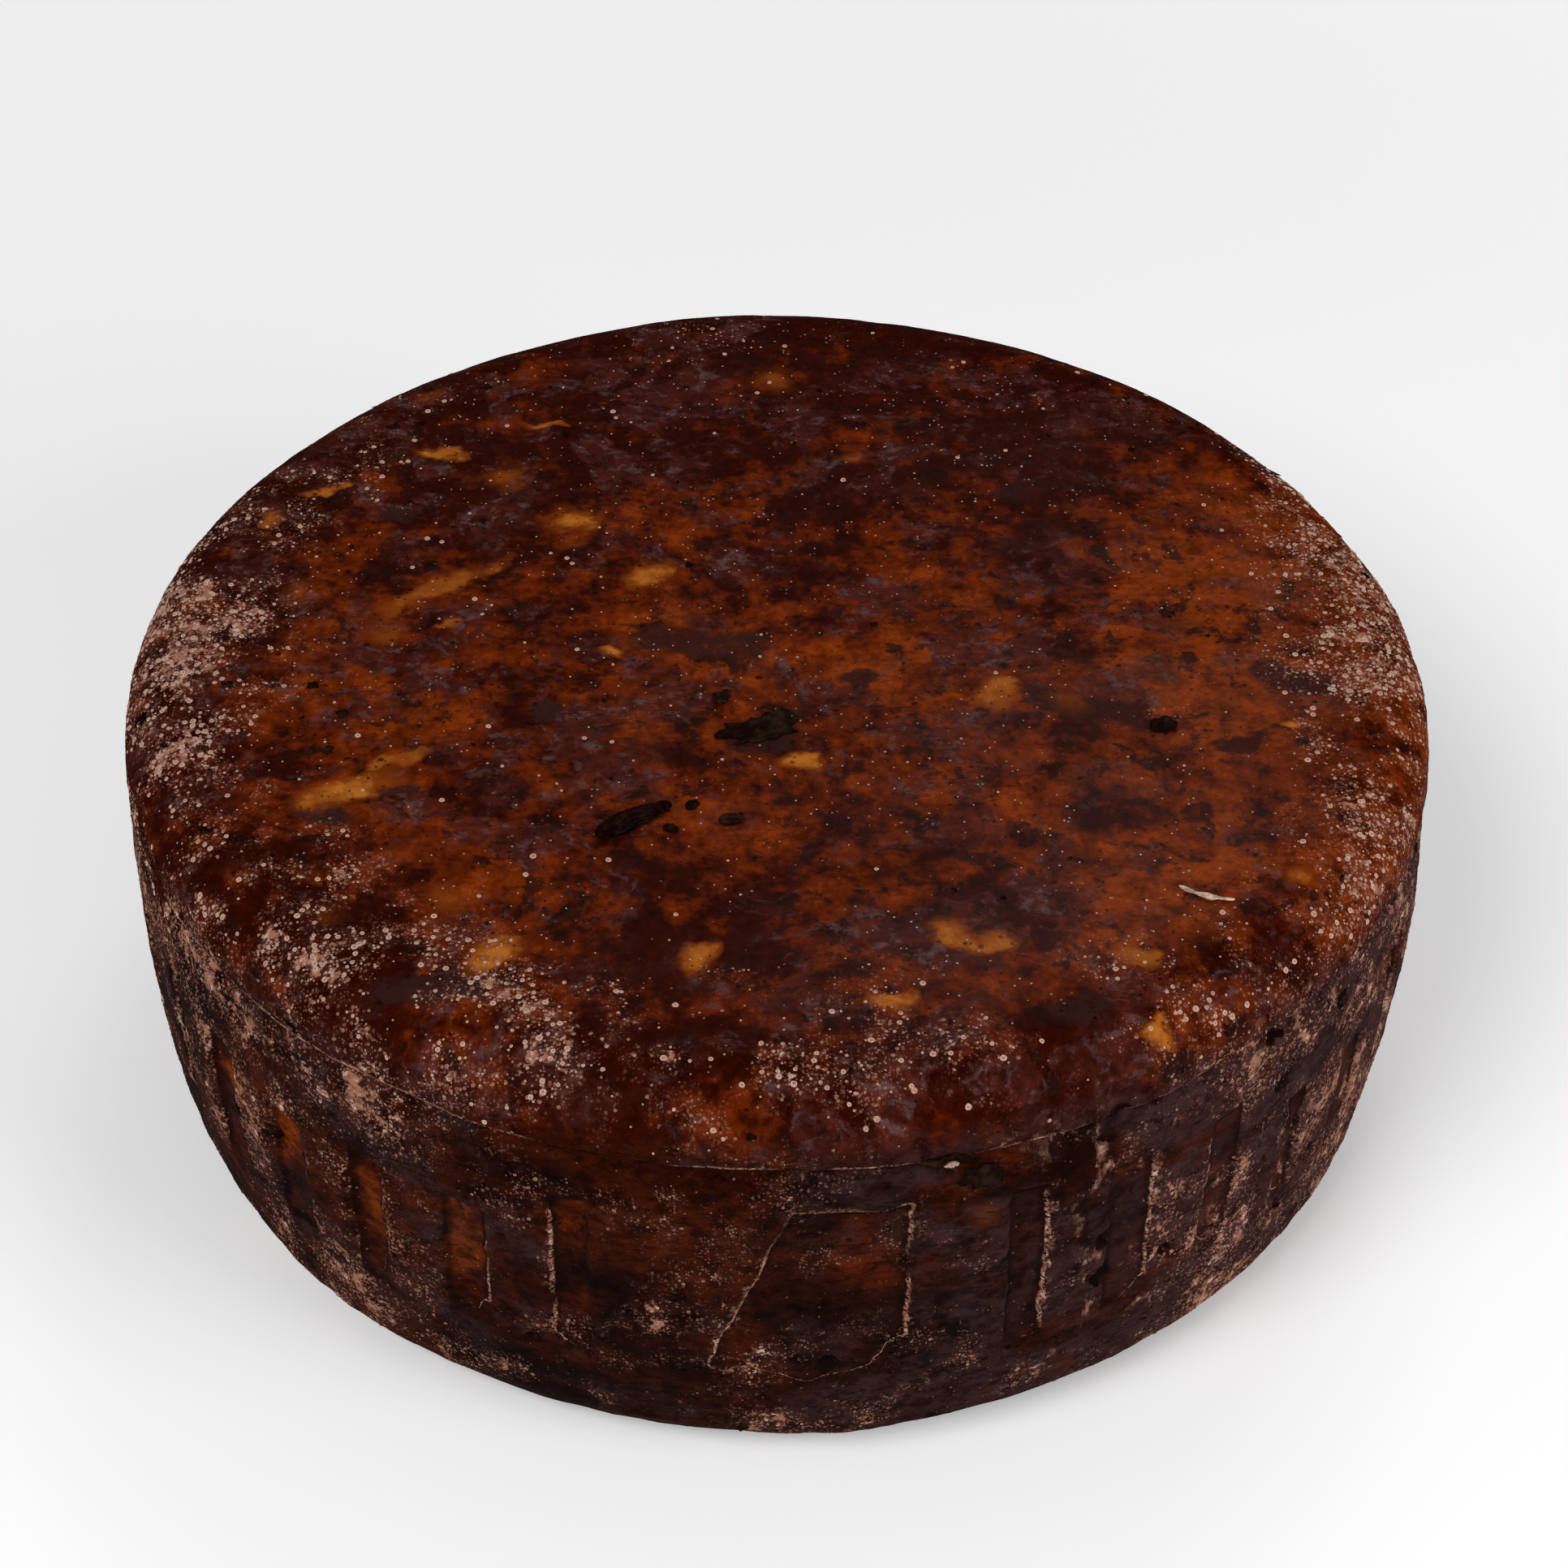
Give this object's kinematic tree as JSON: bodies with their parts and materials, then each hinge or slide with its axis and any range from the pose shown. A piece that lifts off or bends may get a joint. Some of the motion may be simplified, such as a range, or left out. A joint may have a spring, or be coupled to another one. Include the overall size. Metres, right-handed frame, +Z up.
{
  "type": "cheese wheel",
  "caption": "Round cheese wheel with a dark waxy rind, rounded edges, stave panels around its side and bits of husk stuck to its flat top.",
  "frame": {"origin": "middle of the flat base that the wheel rests on", "axes": "+Z up through the wheel's axis; -Y is the front, with the slanting hoop mark"},
  "size_m": [0.3, 0.2998, 0.1129],
  "materials": {
    "rind": "semi-gloss waxy mahogany rind with amber patches, dark smears and pale specks",
    "husk": "dry dark grape husk",
    "seed": "dark brown grape seed, slightly glossy",
    "straw": "dry pale splinter"
  },
  "bodies": {
    "root": {"cheese_wheel": "rind", "long_husk": "husk", "small_seed": "seed", "husk_crumb_a": "husk", "husk_crumb_b": "husk", "pale_sliver": "straw"}
  },
  "joints": []
}
